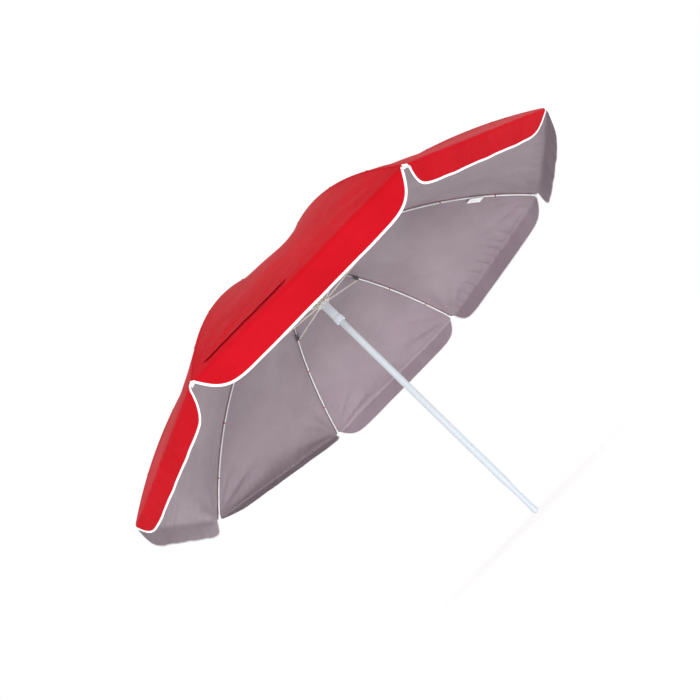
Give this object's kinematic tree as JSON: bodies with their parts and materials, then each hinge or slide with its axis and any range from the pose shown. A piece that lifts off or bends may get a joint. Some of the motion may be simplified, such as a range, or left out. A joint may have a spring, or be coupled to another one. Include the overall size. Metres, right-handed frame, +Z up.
{
  "type": "beach umbrella",
  "caption": "Open beach umbrella: bowed folding ribs, stretchers on a sliding runner, red and silver cloth canopy with a hanging valance, on an upper pole section with a spigot.",
  "frame": {"origin": "on the pole's axis at the lower end of the upper tube, where its spigot begins and the lower pole's end seats", "axes": "+Z up along the pole towards the crown, +X along the first rib, ribs following counter-clockwise seen from above"},
  "size_m": [1.6922, 1.6922, 1.0742],
  "materials": {
    "pole": "white enamel, semi-gloss",
    "spigot": "gloss",
    "ivory_plastic": "satin",
    "white_plastic": "satin",
    "steel_wire": "bright zinc",
    "steel_rib": "zinc grey",
    "white_rib": "glass fibre, satin",
    "dark_plastic": "matte",
    "stretcher_steel": "dull cream enamel",
    "canopy_cloth": "woven polyester, red outside, silver grey coating inside",
    "label": "satin woven, blank"
  },
  "bodies": {
    "pole": {"pole_tube": "pole", "pole_spigot": "spigot", "crown_hub": "ivory_plastic", "crown_wire": "steel_wire", "crown_washer": "white_plastic", "top_cap": "white_plastic", "catch_spring": "steel_wire"},
    "runner": {"runner_ring": "ivory_plastic", "runner_sleeve": "white_plastic", "runner_wire": "steel_wire"},
    "rib_1": {"rib_inner_1": "steel_rib", "rib_outer_1": "white_rib", "rib_clip_1": "dark_plastic", "tip_cap_1": "white_plastic", "canopy_1": "canopy_cloth"},
    "stretcher_1": {"stretcher_1": "stretcher_steel"},
    "rib_2": {"rib_inner_2": "steel_rib", "rib_outer_2": "white_rib", "rib_clip_2": "dark_plastic", "tip_cap_2": "white_plastic", "canopy_2": "canopy_cloth"},
    "stretcher_2": {"stretcher_2": "stretcher_steel"},
    "rib_3": {"rib_inner_3": "steel_rib", "rib_outer_3": "white_rib", "rib_clip_3": "dark_plastic", "tip_cap_3": "white_plastic", "canopy_3": "canopy_cloth", "care_label": "label"},
    "stretcher_3": {"stretcher_3": "stretcher_steel"},
    "rib_4": {"rib_inner_4": "steel_rib", "rib_outer_4": "white_rib", "rib_clip_4": "dark_plastic", "tip_cap_4": "white_plastic", "canopy_4": "canopy_cloth"},
    "stretcher_4": {"stretcher_4": "stretcher_steel"},
    "rib_5": {"rib_inner_5": "steel_rib", "rib_outer_5": "white_rib", "rib_clip_5": "dark_plastic", "tip_cap_5": "white_plastic", "canopy_5": "canopy_cloth"},
    "stretcher_5": {"stretcher_5": "stretcher_steel"},
    "rib_6": {"rib_inner_6": "steel_rib", "rib_outer_6": "white_rib", "rib_clip_6": "dark_plastic", "tip_cap_6": "white_plastic", "canopy_6": "canopy_cloth"},
    "stretcher_6": {"stretcher_6": "stretcher_steel"},
    "rib_7": {"rib_inner_7": "steel_rib", "rib_outer_7": "white_rib", "rib_clip_7": "dark_plastic", "tip_cap_7": "white_plastic", "canopy_7": "canopy_cloth"},
    "stretcher_7": {"stretcher_7": "stretcher_steel"},
    "rib_8": {"rib_inner_8": "steel_rib", "rib_outer_8": "white_rib", "rib_clip_8": "dark_plastic", "tip_cap_8": "white_plastic", "canopy_8": "canopy_cloth"},
    "stretcher_8": {"stretcher_8": "stretcher_steel"}
  },
  "joints": [
    {"name": "rib_fold_1", "type": "hinge", "parent": "pole", "child": "rib_1", "pos_m": [0.02, 0, 0.935], "axis": [0, 1, 0], "range_deg": [0, 60], "deforming": ["canopy_1", "catch_spring"]},
    {"name": "stretcher_swing_1", "type": "hinge", "parent": "rib_1", "child": "stretcher_1", "pos_m": [0.37989, 0, 0.85451], "axis": [0, 1, 0], "range_deg": [-120, 0]},
    {"name": "rib_fold_2", "type": "hinge", "parent": "pole", "child": "rib_2", "pos_m": [0.01414, 0.01414, 0.935], "axis": [-0.7071, 0.7071, 0], "range_deg": [0, 60], "deforming": ["canopy_2"]},
    {"name": "stretcher_swing_2", "type": "hinge", "parent": "rib_2", "child": "stretcher_2", "pos_m": [0.26863, 0.26863, 0.85451], "axis": [-0.7071, 0.7071, 0], "range_deg": [-120, 0]},
    {"name": "rib_fold_3", "type": "hinge", "parent": "pole", "child": "rib_3", "pos_m": [0, 0.02, 0.935], "axis": [-1, 0, 0], "range_deg": [0, 60], "deforming": ["canopy_3", "care_label"]},
    {"name": "stretcher_swing_3", "type": "hinge", "parent": "rib_3", "child": "stretcher_3", "pos_m": [0, 0.37989, 0.85451], "axis": [-1, 0, 0], "range_deg": [-120, 0]},
    {"name": "rib_fold_4", "type": "hinge", "parent": "pole", "child": "rib_4", "pos_m": [-0.01414, 0.01414, 0.935], "axis": [-0.7071, -0.7071, 0], "range_deg": [0, 60], "deforming": ["canopy_4"]},
    {"name": "stretcher_swing_4", "type": "hinge", "parent": "rib_4", "child": "stretcher_4", "pos_m": [-0.26863, 0.26863, 0.85451], "axis": [-0.7071, -0.7071, 0], "range_deg": [-120, 0]},
    {"name": "rib_fold_5", "type": "hinge", "parent": "pole", "child": "rib_5", "pos_m": [-0.02, 0, 0.935], "axis": [0, -1, 0], "range_deg": [0, 60], "deforming": ["canopy_5"]},
    {"name": "stretcher_swing_5", "type": "hinge", "parent": "rib_5", "child": "stretcher_5", "pos_m": [-0.37989, 0, 0.85451], "axis": [0, -1, 0], "range_deg": [-120, 0]},
    {"name": "rib_fold_6", "type": "hinge", "parent": "pole", "child": "rib_6", "pos_m": [-0.01414, -0.01414, 0.935], "axis": [0.7071, -0.7071, 0], "range_deg": [0, 60], "deforming": ["canopy_6"]},
    {"name": "stretcher_swing_6", "type": "hinge", "parent": "rib_6", "child": "stretcher_6", "pos_m": [-0.26863, -0.26863, 0.85451], "axis": [0.7071, -0.7071, 0], "range_deg": [-120, 0]},
    {"name": "rib_fold_7", "type": "hinge", "parent": "pole", "child": "rib_7", "pos_m": [0, -0.02, 0.935], "axis": [1, 0, 0], "range_deg": [0, 60], "deforming": ["canopy_7"]},
    {"name": "stretcher_swing_7", "type": "hinge", "parent": "rib_7", "child": "stretcher_7", "pos_m": [0, -0.37989, 0.85451], "axis": [1, 0, 0], "range_deg": [-120, 0]},
    {"name": "rib_fold_8", "type": "hinge", "parent": "pole", "child": "rib_8", "pos_m": [0.01414, -0.01414, 0.935], "axis": [0.7071, 0.7071, 0], "range_deg": [0, 60], "deforming": ["canopy_8"]},
    {"name": "stretcher_swing_8", "type": "hinge", "parent": "rib_8", "child": "stretcher_8", "pos_m": [0.26863, -0.26863, 0.85451], "axis": [0.7071, 0.7071, 0], "range_deg": [-120, 0]},
    {"name": "runner_travel", "type": "hinge", "parent": "stretcher_1", "child": "runner", "pos_m": [0.02, 0, 0.77403], "axis": [0, 1, 0], "range_deg": [0, 60]}
  ],
  "couplings": [
    {"joint": "rib_fold_2", "follows": "rib_fold_1", "ratio": 1},
    {"joint": "rib_fold_3", "follows": "rib_fold_1", "ratio": 1},
    {"joint": "rib_fold_4", "follows": "rib_fold_1", "ratio": 1},
    {"joint": "rib_fold_5", "follows": "rib_fold_1", "ratio": 1},
    {"joint": "rib_fold_6", "follows": "rib_fold_1", "ratio": 1},
    {"joint": "rib_fold_7", "follows": "rib_fold_1", "ratio": 1},
    {"joint": "rib_fold_8", "follows": "rib_fold_1", "ratio": 1},
    {"joint": "stretcher_swing_1", "follows": "rib_fold_1", "ratio": -2},
    {"joint": "stretcher_swing_2", "follows": "rib_fold_1", "ratio": -2},
    {"joint": "stretcher_swing_3", "follows": "rib_fold_1", "ratio": -2},
    {"joint": "stretcher_swing_4", "follows": "rib_fold_1", "ratio": -2},
    {"joint": "stretcher_swing_5", "follows": "rib_fold_1", "ratio": -2},
    {"joint": "stretcher_swing_6", "follows": "rib_fold_1", "ratio": -2},
    {"joint": "stretcher_swing_7", "follows": "rib_fold_1", "ratio": -2},
    {"joint": "stretcher_swing_8", "follows": "rib_fold_1", "ratio": -2},
    {"joint": "runner_travel", "follows": "rib_fold_1", "ratio": 1}
  ]
}
